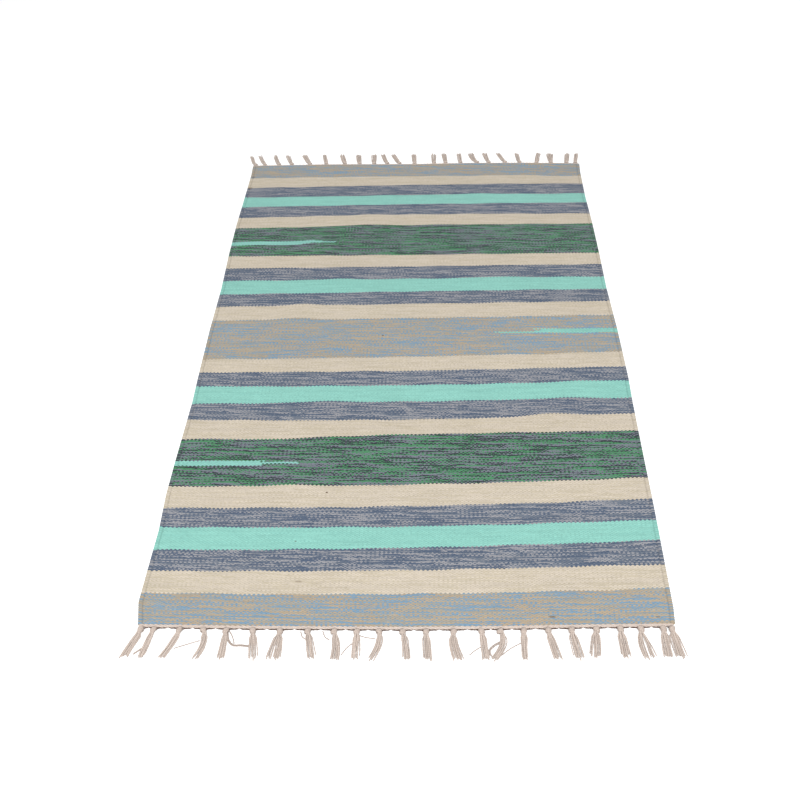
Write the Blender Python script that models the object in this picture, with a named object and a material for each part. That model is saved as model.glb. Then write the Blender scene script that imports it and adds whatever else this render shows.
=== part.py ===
"""A flat-woven cotton kilim rug of 2 by 3 feet, with a twined heading cord and a knotted fringe at each end.

The rug lies on the plane z = 0. +Y runs along the warp from the near end to the far end, and +X to the right.
"""

import math
from typing import NamedTuple

import bmesh
import bpy
import numpy as np

MM = 0.001

# Driving dimensions of the cloth
CLOTH_THICKNESS = 3.5 * MM
CLOTH_SWELL = 0.25 * MM  # how far the beaten wefts rise and fall over the field
SWELL_ACROSS = 210 * MM
SWELL_ALONG = 260 * MM
EDGE_ROUND = 0.8 * MM
NOMINAL_HALF_WIDTH = 300 * MM
FIELD_COLUMNS = 20
FIELD_ROWS = 32

# Driving dimensions of the ends
PIECE_GAP = 0.3 * MM
HEADING_DIAMETER = 3.8 * MM
HEADING_STEPS = 44
HEADING_INSET = 2 * MM  # from the cord's end to the side of the field
SPINE_WIDTH = 1.4 * MM
SPINE_HEIGHT = 1.6 * MM
SPINE_INSET = 1.5 * MM
FRINGE_REACH = 36 * MM  # from the woven edge to the tassels' tips
ROOT_HALF_WIDTH = 3.3 * MM


class Side(NamedTuple):
    """Where the two selvedges run at one place along the rug, in millimetres."""

    along: float
    left: float
    right: float


SIDES = [
    Side(-450, -297.5, 296.0),
    Side(-425, -303.0, 298.5),
    Side(-330, -301.0, 300.5),
    Side(-280, -303.5, 301.5),
    Side(-230, -303.0, 302.0),
    Side(-125, -300.5, 303.5),
    Side(-80, -301.5, 305.0),
    Side(20, -302.5, 304.5),
    Side(110, -301.0, 302.0),
    Side(190, -303.0, 302.5),
    Side(275, -303.5, 302.0),
    Side(350, -301.5, 300.0),
    Side(425, -300.0, 300.5),
    Side(450, -301.0, 302.0),
]


class End(NamedTuple):
    """Where the last weft rows lie at one place across the rug, in millimetres."""

    across: float
    near: float
    far: float


ENDS = [
    End(-300, -452.0, 451.5),
    End(-170, -452.5, 453.5),
    End(0, -451.5, 452.0),
    End(100, -449.5, 453.5),
    End(200, -446.5, 452.5),
    End(300, -444.0, 449.0),
]


class Tassel(NamedTuple):
    """One tassel: its knot's place across the rug, how far its tip lies to the right of the knot, how wide
    the tip spreads, and how far its middle bows to the right, in millimetres."""

    place: float
    lean: float
    spread: float
    bow: float


NEAR_TASSELS = [
    Tassel(-291.5, -11, 9, 0),
    Tassel(-278, -8, 8, 0),
    Tassel(-248, -13, 8, 2),
    Tassel(-221.5, -3, 7, 4),
    Tassel(-197, 0, 8, 0),
    Tassel(-167.5, 4, 9, 0),
    Tassel(-136, -5, 14, 0),
    Tassel(-106, 6, 10, 0),
    Tassel(-77.5, 3, 10, 2),
    Tassel(-52, 0, 9, 0),
    Tassel(-27, -7, 7, 3),
    Tassel(-2, 5, 9, 1),
    Tassel(24, 2, 9, 0),
    Tassel(54, 5, 12, -2),
    Tassel(84, 4, 9, 0),
    Tassel(105, -6, 8, 4),
    Tassel(131, -1, 9, 0),
    Tassel(157.5, 6, 11, 0),
    Tassel(181.5, 4, 12, -1),
    Tassel(209, -5, 12, 0),
    Tassel(236, 2, 11, 0),
    Tassel(256, 5, 12, 0),
    Tassel(281.5, -1, 9, 0),
    Tassel(290, 6, 9, 0),
]

FAR_TASSELS = [
    Tassel(-296, -13, 7, -1),
    Tassel(-278, -15, 8, 0),
    Tassel(-252.5, -11, 8, 0),
    Tassel(-228, -12, 9, 0),
    Tassel(-194, -15, 9, 0),
    Tassel(-164, -6, 8, 0),
    Tassel(-129, -8, 10, 0),
    Tassel(-102, -4, 10, 0),
    Tassel(-75, -2, 10, 0),
    Tassel(-50, -10, 8, 0),
    Tassel(-27, -13, 8, 0),
    Tassel(0, -2, 8, 0),
    Tassel(36, -1, 9, 0),
    Tassel(57.5, -3, 9, 0),
    Tassel(85, -2, 9, 0),
    Tassel(116.5, -11, 11, -2),
    Tassel(137.5, -7, 9, 0),
    Tassel(168, -13, 9, 0),
    Tassel(194, -4, 8, 0),
    Tassel(224, 7, 8, 0),
    Tassel(251, 0, 11, 0),
    Tassel(279, 5, 9, 0),
    Tassel(295, 6, 8, 0),
]


class Ring(NamedTuple):
    """One cross-section of a tassel: its share of the way to the tip, its half width in millimetres, how far
    that half width has opened to the tip's own, and its height in millimetres."""

    share: float
    half_width: float
    opened: float
    height: float


TASSEL_RINGS = [
    Ring(0.05, 3.8, 0.0, 4.2),
    Ring(0.13, 4.1, 0.0, 5.2),
    Ring(0.24, 3.3, 0.0, 3.6),
    Ring(0.60, 3.3, 0.5, 3.0),
    Ring(1.00, 3.3, 1.0, 2.0),
]

# A tassel's cross-section, as shares of its half width and of its height, once round from the lower left
RING_SHAPE = [(-0.8, 0.0), (0.0, 0.0), (0.8, 0.0), (1.0, 0.45), (0.65, 0.9), (0.0, 1.0), (-0.65, 0.9), (-1.0, 0.45)]

# Colours in the photograph, as 8-bit sRGB
COTTON_CREAM = (214, 202, 178)
FRINGE_COTTON = (218, 204, 190)
COTTON_ROUGHNESS = 0.95


def clear_scene():
    """Removes what a new Blender file holds."""
    for thing in list(bpy.data.objects):
        bpy.data.objects.remove(thing, do_unlink=True)


def linear(colour):
    """An 8-bit sRGB colour as the linear RGBA that a shader takes."""
    shares = [value / 255 for value in colour]
    return tuple(s / 12.92 if s <= 0.04045 else ((s + 0.055) / 1.055) ** 2.4 for s in shares) + (1.0,)


def cotton(name, colour):
    """A matt cotton material."""
    material = bpy.data.materials.new(name)
    material.use_nodes = True
    shader = material.node_tree.nodes["Principled BSDF"]
    shader.inputs["Base Color"].default_value = linear(colour)
    shader.inputs["Roughness"].default_value = COTTON_ROUGHNESS
    shader.inputs["Metallic"].default_value = 0.0
    return material


def link_mesh(name, bm, material):
    """Turns a finished bmesh into a named object with its faces pointing out."""
    bmesh.ops.recalc_face_normals(bm, faces=bm.faces[:])
    mesh = bpy.data.meshes.new(name)
    bm.to_mesh(mesh)
    bm.free()
    mesh.materials.append(material)
    mesh.shade_smooth()
    mesh.set_sharp_from_angle(angle=math.radians(40))
    piece = bpy.data.objects.new(name, mesh)
    bpy.context.collection.objects.link(piece)
    return piece


def side_at(y, column):
    """The left or right selvedge's x at a place along the rug."""
    return MM * float(np.interp(y / MM, [s.along for s in SIDES], [getattr(s, column) for s in SIDES]))


def end_at(x, column):
    """The near or far woven edge's y at a place across the rug."""
    return MM * float(np.interp(x / MM, [e.across for e in ENDS], [getattr(e, column) for e in ENDS]))


def field_point(across, along, inset):
    """The place of a grid point that runs from -1 to 1 across and along, on the outline less an inset."""
    rough_x = across * NOMINAL_HALF_WIDTH
    near = end_at(rough_x, "near") + inset
    far = end_at(rough_x, "far") - inset
    y = near + (far - near) * (along + 1) / 2
    left = side_at(y, "left") + inset
    right = side_at(y, "right") - inset
    return left + (right - left) * (across + 1) / 2, y


def cloth_height(x, y):
    """The cloth's thickness at a place: slow swells that run askew to the warp and the weft."""
    rising = math.sin(2 * math.pi * (x / SWELL_ACROSS + y / SWELL_ALONG))
    falling = math.sin(2 * math.pi * (y / SWELL_ALONG - x / (2 * SWELL_ACROSS)))
    return CLOTH_THICKNESS + CLOTH_SWELL * (rising + falling) / 2


def make_rug_panel(material):
    """The woven field with both selvedges: a flat underside, a softly swelling top and rounded edges."""
    bm = bmesh.new()
    bmesh.ops.create_grid(bm, x_segments=FIELD_COLUMNS, y_segments=FIELD_ROWS, size=1.0)
    for vert in bm.verts:
        vert.co.x, vert.co.y = field_point(vert.co.x, vert.co.y, EDGE_ROUND)
    grown = bmesh.ops.extrude_face_region(bm, geom=bm.faces[:])
    for item in grown["geom"]:
        if isinstance(item, bmesh.types.BMVert):
            item.co.z = cloth_height(item.co.x, item.co.y)
    walls = [edge for edge in bm.edges if abs(edge.verts[0].co.z - edge.verts[1].co.z) > CLOTH_THICKNESS / 2]
    split = bmesh.ops.subdivide_edges(bm, edges=walls, cuts=1)
    for item in split["geom_inner"]:
        if isinstance(item, bmesh.types.BMVert):
            push_out(item)
    return link_mesh("rug_panel", bm, material)


def push_out(vert):
    """Moves a point of the rim's middle line out to the true outline."""
    x, y = vert.co.x, vert.co.y
    for line, way in ((side_at(y, "left"), -1), (side_at(y, "right"), 1)):
        if abs(x - line) < 2 * EDGE_ROUND:
            vert.co.x += way * EDGE_ROUND
    for line, way in ((end_at(x, "near"), -1), (end_at(x, "far"), 1)):
        if abs(y - line) < 2 * EDGE_ROUND:
            vert.co.y += way * EDGE_ROUND


def outward(end):
    """Which way along Y an end looks."""
    return -1 if end == "near" else 1


def make_heading(end, material):
    """The twined cord that locks the last weft row of one end."""
    radius = HEADING_DIAMETER / 2
    y_edge = end_at(0, end)
    x_left = side_at(y_edge, "left") + HEADING_INSET
    x_right = side_at(y_edge, "right") - HEADING_INSET
    curve = bpy.data.curves.new(f"heading_{end}", "CURVE")
    curve.dimensions = "3D"
    curve.bevel_depth = radius
    curve.bevel_resolution = 2
    curve.use_fill_caps = True
    spline = curve.splines.new("POLY")
    spline.points.add(HEADING_STEPS)
    for step, point in enumerate(spline.points):
        x = x_left + (x_right - x_left) * step / HEADING_STEPS
        y = end_at(x, end) + outward(end) * (PIECE_GAP + radius)
        point.co = (x, y, radius, 1)
    curve.materials.append(material)
    piece = bpy.data.objects.new(f"heading_{end}", curve)
    bpy.context.collection.objects.link(piece)
    return piece


def skin(bm, ring, following):
    """Joins two rings of as many points with quads."""
    count = len(ring)
    for i in range(count):
        bm.faces.new((ring[i], ring[(i + 1) % count], following[(i + 1) % count], following[i]))


def spine_section(bm, x, end):
    """One cross-section of a comb's spine, once round from the lower inner corner."""
    way = outward(end)
    inner = end_at(x, end) + way * (HEADING_DIAMETER + 2 * PIECE_GAP)
    outer = inner + way * SPINE_WIDTH
    places = [
        (inner, 0),
        (outer, 0),
        (outer, SPINE_HEIGHT * 0.5),
        (outer, SPINE_HEIGHT),
        (inner, SPINE_HEIGHT),
    ]
    return [bm.verts.new((x, y, z)) for y, z in places]


def grow_tassel(bm, root, tassel, end):
    """Lofts one tassel from its root ring through knot, waist and skirt to its cut tip."""
    way = outward(end)
    start = root[1].co.y
    length = FRINGE_REACH - (HEADING_DIAMETER + 2 * PIECE_GAP + SPINE_WIDTH)
    ring = root
    for section in TASSEL_RINGS:
        half = section.half_width + (tassel.spread / 2 - section.half_width) * section.opened
        centre = tassel.place + tassel.lean * section.share + tassel.bow * math.sin(math.pi * section.share)
        y = start + way * length * section.share
        following = [bm.verts.new((MM * (centre + half * u), y, MM * section.height * v)) for u, v in RING_SHAPE]
        skin(bm, ring, following)
        ring = following
    bm.faces.new(ring)


def make_fringe(end, tassels, material):
    """One end's warp ends as a comb: a low spine beside the heading cord, and every knotted tassel."""
    bm = bmesh.new()
    y_edge = end_at(0, end)
    stations = [side_at(y_edge, "left") + SPINE_INSET]
    for tassel in tassels:
        stations += [MM * tassel.place + offset for offset in (-ROOT_HALF_WIDTH, 0, ROOT_HALF_WIDTH)]
    stations.append(side_at(y_edge, "right") - SPINE_INSET)
    sections = [spine_section(bm, x, end) for x in stations]
    for i, (section, following) in enumerate(zip(sections, sections[1:])):
        carries_a_tassel = i % 3 != 0
        for k in range(5):
            if carries_a_tassel and k in (1, 2):
                continue
            bm.faces.new((section[k], section[(k + 1) % 5], following[(k + 1) % 5], following[k]))
    bm.faces.new(sections[0])
    bm.faces.new(sections[-1])
    for i, tassel in enumerate(tassels):
        left, middle, right = sections[3 * i + 1 : 3 * i + 4]
        root = [left[1], middle[1], right[1], right[2], right[3], middle[3], left[3], left[2]]
        grow_tassel(bm, root, tassel, end)
    return link_mesh(f"fringe_{end}", bm, material)


def main():
    clear_scene()
    field_cotton = cotton("field_cotton", COTTON_CREAM)
    fringe_cotton = cotton("fringe_cotton", FRINGE_COTTON)
    make_rug_panel(field_cotton)
    for end, tassels in (("near", NEAR_TASSELS), ("far", FAR_TASSELS)):
        make_heading(end, fringe_cotton)
        make_fringe(end, tassels, fringe_cotton)


main()
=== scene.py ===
"""The looks of a flat-woven cotton kilim rug: banded cloth, twined headings, knotted tassels and a stage.

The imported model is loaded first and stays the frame: every piece here stands for one of its nodes and keeps
that node's place. The rug lies on z = 0, +Y runs along the warp from the near end to the far end, and +X
to the right.
"""

import math
from typing import NamedTuple

import bpy
import numpy as np
from mathutils import Matrix, Vector


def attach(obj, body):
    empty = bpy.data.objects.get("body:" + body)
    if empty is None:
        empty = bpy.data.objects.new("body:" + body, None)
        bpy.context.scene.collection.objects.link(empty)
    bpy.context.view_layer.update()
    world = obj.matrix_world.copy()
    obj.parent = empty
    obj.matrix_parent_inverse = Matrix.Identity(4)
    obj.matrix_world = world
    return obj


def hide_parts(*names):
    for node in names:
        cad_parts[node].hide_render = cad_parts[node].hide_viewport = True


bl_info = {
    "name": "Kilim Rug",
    "version": (1, 0, 0),
    "blender": (4, 5, 0),
    "location": "3D View > Sidebar > Kilim",
    "description": "Weaves a banded cotton kilim rug with twined headings and knotted tassels",
    "category": "Add Mesh",
}

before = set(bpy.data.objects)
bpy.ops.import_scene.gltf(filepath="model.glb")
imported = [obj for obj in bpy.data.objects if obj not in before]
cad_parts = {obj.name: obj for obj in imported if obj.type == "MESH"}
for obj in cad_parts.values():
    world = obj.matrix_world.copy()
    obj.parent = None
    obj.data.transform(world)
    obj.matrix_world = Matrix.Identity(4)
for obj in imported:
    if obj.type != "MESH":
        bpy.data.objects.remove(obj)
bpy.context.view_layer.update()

MM = 0.001

# The outline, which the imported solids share


class Side(NamedTuple):
    """Where the two selvedges run at one place along the rug, in millimetres."""

    along: float
    left: float
    right: float


SIDES = [
    Side(-450, -297.5, 296.0),
    Side(-425, -303.0, 298.5),
    Side(-330, -301.0, 300.5),
    Side(-280, -303.5, 301.5),
    Side(-230, -303.0, 302.0),
    Side(-125, -300.5, 303.5),
    Side(-80, -301.5, 305.0),
    Side(20, -302.5, 304.5),
    Side(110, -301.0, 302.0),
    Side(190, -303.0, 302.5),
    Side(275, -303.5, 302.0),
    Side(350, -301.5, 300.0),
    Side(425, -300.0, 300.5),
    Side(450, -301.0, 302.0),
]


class End(NamedTuple):
    """Where the two woven ends run at one place across the rug, in millimetres."""

    across: float
    near: float
    far: float


ENDS = [
    End(-300, -452.0, 451.5),
    End(-170, -452.5, 453.5),
    End(0, -451.5, 452.0),
    End(100, -449.5, 453.5),
    End(200, -446.5, 452.5),
    End(300, -444.0, 449.0),
]
NOMINAL_HALF_WIDTH = 300 * MM
CLOTH_THICKNESS = 3.5 * MM
CLOTH_SWELL = 0.25 * MM
SWELL_ACROSS = 210 * MM
SWELL_ALONG = 260 * MM
PIECE_GAP = 0.3 * MM
HEADING_DIAMETER = 3.8 * MM
FRINGE_REACH = 36 * MM  # from the woven edge to the tassels' tips

# The bands of the field


class Band(NamedTuple):
    """One band of weft: its yarn, and the y of its far edge at three places across, in millimetres."""

    yarn: str
    left: float
    middle: float
    right: float


YARNS = ("cream", "mint", "navy", "green", "slate")
BAND_STATION = 290 * MM  # how far left and right of the middle the band edges are given
BANDS = [  # from the near end on
    Band("slate", -414.5, -413.0, -402.5),
    Band("cream", -386.5, -383.0, -372.5),
    Band("navy", -359.0, -353.5, -341.0),
    Band("mint", -327.5, -324.5, -313.0),
    Band("navy", -300.0, -295.5, -283.0),
    Band("cream", -268.0, -263.5, -251.5),
    Band("green", -235.5, -231.5, -220.0),
    Band("green", -192.5, -183.5, -176.0),
    Band("cream", -159.0, -158.0, -147.0),
    Band("navy", -130.5, -126.0, -118.5),
    Band("mint", -99.0, -96.0, -88.0),
    Band("navy", -72.0, -68.5, -60.5),
    Band("cream", -46.0, -41.0, -31.5),
    Band("slate", 1.0, 6.0, 7.5),
    Band("slate", 35.5, 39.5, 45.5),
    Band("cream", 66.0, 71.0, 76.0),
    Band("navy", 94.5, 99.5, 104.0),
    Band("mint", 126.0, 129.5, 133.0),
    Band("navy", 156.5, 160.0, 163.0),
    Band("cream", 187.5, 189.0, 191.5),
    Band("green", 216.0, 219.5, 221.0),
    Band("green", 263.0, 268.5, 268.5),
    Band("cream", 292.0, 297.5, 298.0),
    Band("navy", 323.0, 327.5, 329.0),
    Band("mint", 351.0, 354.5, 356.5),
    Band("navy", 380.0, 385.5, 386.0),
    Band("cream", 410.5, 413.0, 409.0),
    Band("slate", 451.5, 452.0, 449.0),
]


class Lift(NamedTuple):
    """A place where a band's far edge was beaten out of line, in millimetres."""

    band: int
    across: float
    rise: float
    reach: float


LIFTS = [
    Lift(5, -155, 2.5, 22),
    Lift(7, -175, -3.0, 55),
    Lift(8, 195, 4.5, 40),
    Lift(9, -115, 3.5, 28),
    Lift(9, 208, 2.6, 24),
    Lift(10, 238, 3.0, 24),
    Lift(14, -180, 3.5, 25),
    Lift(15, -165, 4.5, 20),
    Lift(17, -115, 3.2, 20),
    Lift(17, 140, 2.0, 40),
    Lift(20, -165, 2.0, 14),
    Lift(21, -200, -2.5, 18),
    Lift(21, -80, 3.0, 25),
    Lift(22, -80, 2.5, 25),
    Lift(22, 235, -1.8, 30),
    Lift(24, 120, 2.0, 35),
    Lift(24, 220, -1.5, 35),
    Lift(26, 190, 1.8, 45),
]


class Wedge(NamedTuple):
    """A mint wedge laid in from one selvedge, above one band's far edge: how far each pick reaches, in mm."""

    band: int
    side: str
    reaches: tuple


WEDGES = [
    Wedge(6, "left", (115, 112, 158, 155, 108, 115)),
    Wedge(13, "right", (172, 175, 118, 109, 109, 119)),
    Wedge(20, "left", (117, 130, 145, 168, 174, 150, 137)),
]


class Fleck(NamedTuple):
    """A dark nep or slub: its place, its size across and along, in millimetres, and its depth."""

    across: float
    along: float
    wide: float
    tall: float
    depth: float


FLECKS = [
    Fleck(-41.0, 3.2, 1.6, 1.2, 0.8),
    Fleck(-100.5, -275.3, 1.8, 1.2, 0.9),
    Fleck(-132.0, -345.4, 1.6, 1.2, 0.5),
    Fleck(-122.5, -398.0, 5.0, 1.4, 0.35),
    Fleck(-38.0, -70.0, 1.5, 1.2, 0.8),
    Fleck(163.5, -438.0, 4.5, 1.3, 0.55),
    Fleck(279.0, -436.5, 3.0, 1.2, 0.4),
    Fleck(-294.5, 415.0, 4.0, 2.5, 0.45),
    Fleck(-295.5, 380.5, 5.0, 3.0, 0.55),
]

FLECK_COLOUR = (80, 60, 44)

# The tassels


class Tassel(NamedTuple):
    """A tassel's place across, and its tip's lean to the right, width, bow and parting, in millimetres."""

    place: float
    lean: float
    spread: float
    bow: float
    parting: float = 0


NEAR_TASSELS = [
    Tassel(-291.5, -12.5, 10, 0),
    Tassel(-277.5, -8.5, 7, 0),
    Tassel(-248, -15, 7.5, 1.5),
    Tassel(-222, -3.5, 8, 4),
    Tassel(-197, -1, 8, 0),
    Tassel(-167.5, 4.5, 10, 0),
    Tassel(-136.5, -5, 13, 0, 1.0),
    Tassel(-107, 7.5, 10, 0),
    Tassel(-77.5, 3, 10, 2),
    Tassel(-52, 0, 9, 0),
    Tassel(-27, -7, 7, 3),
    Tassel(-2, 5, 9, 1),
    Tassel(24, 2, 9, 0),
    Tassel(54, 5, 12, -2),
    Tassel(84.5, 4, 9, 0),
    Tassel(105.5, -8, 8, 6),
    Tassel(131, -1, 8, 0),
    Tassel(157, 8, 10, 0),
    Tassel(182.5, 6, 11, 0),
    Tassel(210.5, -5.5, 12, 0),
    Tassel(236, 2, 11, 0),
    Tassel(258, 4, 11, -1, 2.0),
    Tassel(282.5, 0, 11, 0),
    Tassel(291.5, 5, 12, 0),
]
FAR_TASSELS = [
    Tassel(-296, -13, 7, -1),
    Tassel(-278, -15, 8, 0),
    Tassel(-252.5, -11, 8, 0),
    Tassel(-228, -12, 9, 0),
    Tassel(-194, -15, 9, 0),
    Tassel(-164, -6, 8, 0),
    Tassel(-129, -8, 10, 0),
    Tassel(-102, -4, 10, 0),
    Tassel(-75, -2, 10, 0),
    Tassel(-50, -10, 8, 0),
    Tassel(-27, -13, 8, 0),
    Tassel(0, -2, 8, 0),
    Tassel(36, -1, 9, 0),
    Tassel(57.5, -3, 9, 0),
    Tassel(85, -2, 9, 0),
    Tassel(116.5, -11, 11, -2),
    Tassel(137.5, -7, 9, 0),
    Tassel(168, -13, 9, 0),
    Tassel(194, -4, 8, 0),
    Tassel(224, 7, 8, 0),
    Tassel(251, 0, 11, 0),
    Tassel(279, 5, 9, 0),
    Tassel(295, 6, 8, 0),
]


class LooseYarn(NamedTuple):
    """A yarn lying loose between the near tassels: its thickness, and its points across and along, in mm."""

    thickness: float
    points: list


LOOSE_YARNS = [
    LooseYarn(1.2, [(-194.9, -458.5), (-191.6, -468.6), (-187.4, -472.9), (-177.8, -473.3), (-168.8, -474.2)]),
    LooseYarn(1.2, [(-196.0, -459.0), (-192.6, -469.6), (-187.7, -474.1), (-177.8, -474.6), (-168.8, -475.5)]),
    LooseYarn(1.2, [(-193.4, -457.5), (-190.0, -462.5), (-187.2, -468.0), (-185.8, -472.0)]),
    LooseYarn(1.1, [(-251.5, -478.4), (-239.8, -474.2), (-224.5, -469.1)]),
    LooseYarn(1.15, [(-114.1, -457.2), (-111.7, -463.4), (-107.2, -466.4)]),
    LooseYarn(1.15, [(-89.7, -456.6), (-86.1, -463.8), (-81.5, -466.4)]),
    LooseYarn(1.1, [(-67.5, -483.3), (-61.7, -475), (-55, -469.2)]),
    LooseYarn(1.1, [(-50, -460.8), (-40, -463.5), (-31.7, -464.2)]),
    LooseYarn(1.1, [(70.8, -481.7), (77, -476.5), (83.3, -472.5)]),
    LooseYarn(1.1, [(105.2, -481.6), (114.7, -474.2), (127.2, -467.2)]),
    LooseYarn(1.2, [(-278.6, -472.0), (-286.6, -478.3), (-293.0, -483.8)]),
    LooseYarn(1.2, [(-279.0, -473.0), (-287.4, -479.3), (-294.3, -484.6)]),
    LooseYarn(1.2, [(-279.5, -474.3), (-287.9, -480.5), (-294.8, -485.8)]),
    LooseYarn(1.2, [(103.8, -466.4), (96.0, -471.3), (92.0, -476.1), (93.2, -481.7)]),
    LooseYarn(1.2, [(104.6, -467.6), (97.2, -472.3), (93.3, -476.6), (94.4, -482.6)]),
]

# Colours


def linear(red, green, blue):
    """A screen colour of 0 to 255 as Blender's linear colour."""
    shares = (channel / 255 for channel in (red, green, blue))
    return tuple(s / 12.92 if s <= 0.04045 else ((s + 0.055) / 1.055) ** 2.4 for s in shares)


def cotton_colour(name, description, colour):
    """A colour property for one ply of cotton."""
    return bpy.props.FloatVectorProperty(
        name=name, description=description, subtype="COLOR", size=3, min=0, max=1, default=linear(*colour)
    )


def length(name, description, default, low=0.0, high=1.0):
    """A length property, in metres."""
    return bpy.props.FloatProperty(
        name=name, description=description, default=default, min=low, max=high, unit="LENGTH", precision=5
    )


class ClothSettings(bpy.types.PropertyGroup):
    """Sizes and yarn colours of the woven field."""

    warp_spacing: length("Warp Spacing", "Distance from one warp yarn to the next", 2.59 * MM)
    pick_pitch: length("Pick Pitch", "Distance from one weft pick to the next", 1.4 * MM)
    selvedge_width: length("Selvedge Width", "Width of the doubled warp along each long edge", 5.2 * MM)
    rib_depth: length("Rib Depth", "How deep the hollows between the weft's beads are", 0.28 * MM)
    strand_turns: bpy.props.FloatProperty(
        name="Strand Turns",
        description="Turns that a weft's strands take round each other over one warp yarn",
        default=0.015,
    )
    cream: cotton_colour("Cream", "Undyed cotton", (180, 170, 155))
    cream_shade: cotton_colour("Cream Shade", "Darker undyed cotton", (171, 161, 142))
    mint: cotton_colour("Mint", "Mint cotton", (124, 177, 166))
    mint_shade: cotton_colour("Mint Shade", "Darker mint cotton", (118, 171, 161))
    navy: cotton_colour("Navy", "Dark ply of the navy yarn", (68, 80, 99))
    lilac: cotton_colour("Lilac Grey", "Pale ply of the navy yarn", (134, 134, 138))
    navy_mid: cotton_colour("Navy Mid", "Where the two plies of the navy yarn mix", (94, 102, 114))
    green: cotton_colour("Green", "Green ply of the green yarn", (65, 119, 83))
    charcoal: cotton_colour("Charcoal", "Dark ply of the green yarn", (41, 45, 52))
    steel: cotton_colour("Steel", "Blue-grey ply of the green yarn", (105, 109, 119))
    sky: cotton_colour("Sky", "Blue ply of the slate yarn", (106, 133, 154))
    tan: cotton_colour("Tan", "Tan ply of the slate yarn", (156, 140, 118))
    slate_mid: cotton_colour("Slate Mid", "Where the two plies of the slate yarn mix", (142, 139, 130))


class YarnSettings(bpy.types.PropertyGroup):
    """Sizes and colours of the heading cords and the tassels."""

    yarn_diameter: length("Yarn Diameter", "Thickness of one warp yarn", 1.25 * MM)
    yarn_pitch: length("Yarn Pitch", "Length of one turn of a yarn's plies", 4.5 * MM)
    cord_pitch: length("Cord Pitch", "Length of one turn of the heading cord's strands", 17 * MM)
    top_strands: bpy.props.IntProperty(
        name="Top Strands", description="Yarns in a tassel's upper layer", default=4, min=2, max=6
    )
    # The first colour is the undyed yarn as lit; the second is the same yarn with painted shade, mixed in near
    # and inside the knots, under the top strands and under the heading cord.
    cotton: cotton_colour("Cotton", "Undyed yarn in the light", (195, 181, 171))
    cotton_painted_shade: cotton_colour("Cotton Shade", "Undyed yarn deep in the knots", (90, 69, 60))


class StageSettings(bpy.types.PropertyGroup):
    """The floor, the lights and the camera."""

    floor_colour: cotton_colour("Floor", "Colour of the floor", (255, 255, 255))
    sky_strength: bpy.props.FloatProperty(
        name="Surround", description="Strength of the even white light", default=0.73
    )
    key_power: bpy.props.FloatProperty(
        name="Key Light", description="Power of the soft key light in watts", default=73
    )
    lens: bpy.props.FloatProperty(name="Lens", description="Focal length in millimetres", default=35.379)


# Shader nodes


class Wiring:
    """One node tree, with short calls that add a node, feed its inputs and give back its output."""

    def __init__(self, tree):
        self.tree = tree

    def feed(self, socket, value):
        """Gives a socket its value, or the output that it follows."""
        if isinstance(value, bpy.types.NodeSocket):
            self.tree.links.new(value, socket)
        else:
            socket.default_value = value

    def add(self, kind, inputs=None, **settings):
        """A new node with its settings made and its named inputs fed."""
        node = self.tree.nodes.new(kind)
        node.location = (190 * (len(self.tree.nodes) % 12), -230 * (len(self.tree.nodes) // 12))
        for name, value in settings.items():
            setattr(node, name, value)
        for name, value in (inputs or {}).items():
            self.feed(node.inputs[name], value)
        return node

    def math(self, operation, *values, clamp=False):
        """The result of one Math node."""
        node = self.add("ShaderNodeMath", operation=operation, use_clamp=clamp)
        for socket, value in zip(node.inputs, values):
            self.feed(socket, value)
        return node.outputs["Value"]

    def joined(self, operation, value, *others):
        """Several values joined by one operation, one after another."""
        for other in others:
            value = self.math(operation, value, other)
        return value

    def vector_math(self, operation, *values):
        """The outputs of one Vector Math node."""
        node = self.add("ShaderNodeVectorMath", operation=operation)
        for socket, value in zip(node.inputs, values):
            self.feed(socket, value)
        return node.outputs

    def scaled(self, value, factor, offset=0.0):
        """value x factor + offset."""
        return self.math("MULTIPLY_ADD", value, factor, offset)

    def smooth(self, value, low, high, start=0.0, end=1.0):
        """start below low, end above high, and an even curve between them."""
        node = self.add(
            "ShaderNodeMapRange",
            {"Value": value, "From Min": low, "From Max": high, "To Min": start, "To Max": end},
            interpolation_type="SMOOTHSTEP",
        )
        return node.outputs["Result"]

    def split(self, vector):
        """The three parts of a vector."""
        return self.add("ShaderNodeSeparateXYZ", {"Vector": vector}).outputs

    def vector(self, x=0.0, y=0.0, z=0.0):
        """A vector of three values."""
        return self.add("ShaderNodeCombineXYZ", {"X": x, "Y": y, "Z": z}).outputs["Vector"]

    def random(self, vector):
        """A value from 0 to 1 that is different at each place."""
        return self.add("ShaderNodeTexWhiteNoise", {"Vector": vector}, noise_dimensions="3D").outputs["Value"]

    def noise(self, vector, scale=1.0, detail=2.0):
        """A smooth noise of about 0.25 to 0.75."""
        node = self.add("ShaderNodeTexNoise", {"Vector": vector, "Scale": scale, "Detail": detail})
        return node.outputs["Fac"]

    def mix(self, share, first, second, blend_type="MIX"):
        """Two colours mixed."""
        node = self.add("ShaderNodeMix", data_type="RGBA", blend_type=blend_type)
        self.feed(node.inputs["Factor"], share)
        colours = [socket for socket in node.inputs if socket.type == "RGBA"]
        for socket, colour in zip(colours, (first, second)):
            self.feed(socket, colour)
        return next(socket for socket in node.outputs if socket.type == "RGBA")

    def shade(self, colour, factor):
        """A colour made brighter or darker by a factor."""
        node = self.add("ShaderNodeVectorMath", operation="SCALE")
        self.feed(node.inputs[0], colour)
        self.feed(node.inputs["Scale"], factor)
        return node.outputs["Vector"]

    def steps(self, value, stops):
        """A colour that changes in steps, from pairs of a place and the colour from there on."""
        node = self.add("ShaderNodeValToRGB", {"Fac": value})
        ramp = node.color_ramp
        ramp.interpolation = "CONSTANT"
        while len(ramp.elements) > 1:
            ramp.elements.remove(ramp.elements[-1])
        for i, (place, colour) in enumerate(stops):
            element = ramp.elements[0] if i == 0 else ramp.elements.new(place)
            element.position = place
            element.color = (*colour, 1.0)
        return node.outputs["Color"]


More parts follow.
